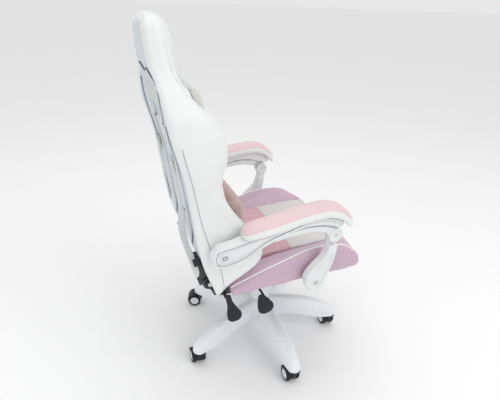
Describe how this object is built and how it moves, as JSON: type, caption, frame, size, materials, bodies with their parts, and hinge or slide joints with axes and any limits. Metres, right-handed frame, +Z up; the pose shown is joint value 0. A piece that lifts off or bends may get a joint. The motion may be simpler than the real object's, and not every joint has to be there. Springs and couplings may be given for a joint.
{
  "type": "gaming chair",
  "caption": "Reclining bucket-style office seat with side bolsters, linkage armrests, harness openings, loose head and lumbar pillows, gas lift and a star base on casters.",
  "frame": {"origin": "on the floor, on the axis of the column about which the seat swivels", "axes": "+Z up, the seat faces -Y, the sitter's right hand is -X"},
  "size_m": [0.687, 0.7464, 1.244],
  "materials": {
    "base_white": "smooth white moulded nylon",
    "sleeve_white": "smooth white",
    "black_steel": "black powder coat",
    "bright_steel": "zinc plated",
    "bush_plastic": "natural nylon",
    "black_plastic": "fine textured black",
    "caster_wheel": "black nylon with pale discs",
    "seat_pan": "black dust cover",
    "pink_leather": "perforated leather-grain coated fabric over foam",
    "lilac_leather": "leather-grain coated fabric over foam, white piping",
    "white_leather": "leather-grain coated fabric over foam",
    "back_pink_leather": "leather-grain coated fabric over foam",
    "slot_trim": "pale grey moulded",
    "head_pillow": "soft leather-grain coated fabric over filling",
    "lumbar_pillow": "soft mesh cloth",
    "elastic_band": "ribbed elastic",
    "buckle": "speckled white",
    "arm_white": "satin white polypropylene",
    "pad_pink": "leather-grain coated fabric over foam with a white side band"
  },
  "bodies": {
    "base": {"star_base": "base_white", "lift_tube": "black_steel", "guide_bush": "bush_plastic", "cover_lower": "sleeve_white"},
    "caster_1": {"caster_1_hood": "black_plastic", "caster_1_pins": "bright_steel"},
    "caster_1_roller": {"caster_1_wheels": "caster_wheel"},
    "caster_2": {"caster_2_hood": "black_plastic", "caster_2_pins": "bright_steel"},
    "caster_2_roller": {"caster_2_wheels": "caster_wheel"},
    "caster_3": {"caster_3_hood": "black_plastic", "caster_3_pins": "bright_steel"},
    "caster_3_roller": {"caster_3_wheels": "caster_wheel"},
    "caster_4": {"caster_4_hood": "black_plastic", "caster_4_pins": "bright_steel"},
    "caster_4_roller": {"caster_4_wheels": "caster_wheel"},
    "caster_5": {"caster_5_hood": "black_plastic", "caster_5_pins": "bright_steel"},
    "caster_5_roller": {"caster_5_wheels": "caster_wheel"},
    "lift_rod": {"lift_rod": "bright_steel", "thrust_bearing": "bright_steel"},
    "column": {"lift_cylinder": "black_steel", "cover_upper": "sleeve_white", "mechanism_housing": "black_steel", "mechanism_pins": "bright_steel", "tilt_spring": "bright_steel"},
    "middle_sleeve": {"cover_middle": "sleeve_white"},
    "tension_knob": {"tension_knob": "black_plastic"},
    "height_lever": {"height_lever": "black_plastic"},
    "seat": {"mechanism_plate": "black_steel", "seat_bolts": "bright_steel", "seat_frame": "black_steel", "seat_pan": "seat_pan", "seat_cushion": "pink_leather", "seat_bolster_right": "lilac_leather", "seat_bolster_left": "lilac_leather", "recliner_plates": "black_steel", "recliner_pins": "bright_steel", "post_bolts": "bright_steel"},
    "recline_lever": {"recline_lever": "black_plastic"},
    "backrest": {"back_frame": "black_steel", "back_brackets": "black_steel", "recliner_cover": "black_plastic", "back_shell": "white_leather", "back_cushion": "back_pink_leather", "head_cushion": "white_leather", "back_wing_right": "white_leather", "back_wing_left": "white_leather", "slot_trims": "slot_trim", "head_pillow": "head_pillow", "lumbar_pillow": "lumbar_pillow", "elastic_straps": "elastic_band", "strap_buckles": "buckle", "arm_bolts": "bright_steel"},
    "arm_right": {"arm_right": "arm_white", "arm_pad_right": "pad_pink"},
    "arm_left": {"arm_left": "arm_white", "arm_pad_left": "pad_pink"},
    "post_right": {"post_right": "arm_white"},
    "post_left": {"post_left": "arm_white"}
  },
  "joints": [
    {"name": "caster_1_swivel", "type": "hinge", "parent": "base", "child": "caster_1", "pos_m": [-0.30967, -0.01439, 0.04], "axis": [0, 0, 1], "continuous": true},
    {"name": "caster_1_roll", "type": "hinge", "parent": "caster_1", "child": "caster_1_roller", "pos_m": [-0.28767, -0.01439, 0.028], "axis": [0, 1, 0], "continuous": true},
    {"name": "caster_2_swivel", "type": "hinge", "parent": "base", "child": "caster_2", "pos_m": [-0.08201, -0.29896, 0.04], "axis": [0, 0, 1], "continuous": true},
    {"name": "caster_2_roll", "type": "hinge", "parent": "caster_2", "child": "caster_2_roller", "pos_m": [-0.06001, -0.29896, 0.028], "axis": [0, 1, 0], "continuous": true},
    {"name": "caster_3_swivel", "type": "hinge", "parent": "base", "child": "caster_3", "pos_m": [0.25898, -0.17038, 0.04], "axis": [0, 0, 1], "continuous": true},
    {"name": "caster_3_roll", "type": "hinge", "parent": "caster_3", "child": "caster_3_roller", "pos_m": [0.28098, -0.17038, 0.028], "axis": [0, 1, 0], "continuous": true},
    {"name": "caster_4_swivel", "type": "hinge", "parent": "base", "child": "caster_4", "pos_m": [0.24207, 0.19366, 0.04], "axis": [0, 0, 1], "continuous": true},
    {"name": "caster_4_roll", "type": "hinge", "parent": "caster_4", "child": "caster_4_roller", "pos_m": [0.24959, 0.21433, 0.028], "axis": [-0.9397, 0.342, 0], "continuous": true},
    {"name": "caster_5_swivel", "type": "hinge", "parent": "base", "child": "caster_5", "pos_m": [-0.10938, 0.29006, 0.04], "axis": [0, 0, 1], "continuous": true},
    {"name": "caster_5_roll", "type": "hinge", "parent": "caster_5", "child": "caster_5_roller", "pos_m": [-0.08737, 0.29006, 0.028], "axis": [0, 1, 0], "continuous": true},
    {"name": "column_swivel", "type": "hinge", "parent": "base", "child": "lift_rod", "pos_m": [0, 0, 0.1], "axis": [0, 0, 1], "continuous": true},
    {"name": "height_lift", "type": "slide", "parent": "lift_rod", "child": "column", "axis": [0, 0, 1], "range_m": [-0.05, 0.03]},
    {"name": "middle_sleeve_slide", "type": "slide", "parent": "base", "child": "middle_sleeve", "axis": [0, 0, 1], "range_m": [-0.026, 0.016]},
    {"name": "knob_turn", "type": "hinge", "parent": "column", "child": "tension_knob", "pos_m": [0, -0.072, 0.31], "axis": [0, 0, 1], "continuous": true},
    {"name": "height_lever_pull", "type": "hinge", "parent": "column", "child": "height_lever", "pos_m": [-0.068, 0.07, 0.368], "axis": [0, 1, 0], "range_deg": [0, 2.5], "stiffness_Nm_per_rad": 3, "springref_deg": -11.46},
    {"name": "rock_tilt", "type": "hinge", "parent": "column", "child": "seat", "pos_m": [0, -0.06, 0.386], "axis": [-1, 0, 0], "range_deg": [0, 7], "stiffness_Nm_per_rad": 400, "springref_deg": -22.92},
    {"name": "recline", "type": "hinge", "parent": "seat", "child": "backrest", "pos_m": [0, 0.276, 0.452], "axis": [-1, 0, 0], "range_deg": [0, 45]},
    {"name": "recline_lever_pull", "type": "hinge", "parent": "seat", "child": "recline_lever", "pos_m": [-0.22, 0.276, 0.452], "axis": [1, 0, 0], "range_deg": [0, 20], "stiffness_Nm_per_rad": 1.5, "springref_deg": -14.32},
    {"name": "arm_right_pivot", "type": "hinge", "parent": "backrest", "child": "arm_right", "pos_m": [-0.3, 0.26, 0.609], "axis": [-1, 0, 0], "range_deg": [-41.5, 0]},
    {"name": "post_right_pivot", "type": "hinge", "parent": "seat", "child": "post_right", "pos_m": [-0.3, -0.057, 0.45], "axis": [-1, 0, 0], "range_deg": [0, 40.5]},
    {"name": "arm_left_pivot", "type": "hinge", "parent": "backrest", "child": "arm_left", "pos_m": [0.3, 0.26, 0.609], "axis": [-1, 0, 0], "range_deg": [-41.5, 0]},
    {"name": "post_left_pivot", "type": "hinge", "parent": "seat", "child": "post_left", "pos_m": [0.3, -0.057, 0.45], "axis": [-1, 0, 0], "range_deg": [0, 40.5]}
  ],
  "couplings": [
    {"joint": "middle_sleeve_slide", "follows": "height_lift", "ratio": 0.5},
    {"joint": "arm_right_pivot", "follows": "recline", "ratio": -0.9056},
    {"joint": "post_right_pivot", "follows": "recline", "ratio": 0.8768},
    {"joint": "arm_left_pivot", "follows": "recline", "ratio": -0.9056},
    {"joint": "post_left_pivot", "follows": "recline", "ratio": 0.8768}
  ]
}
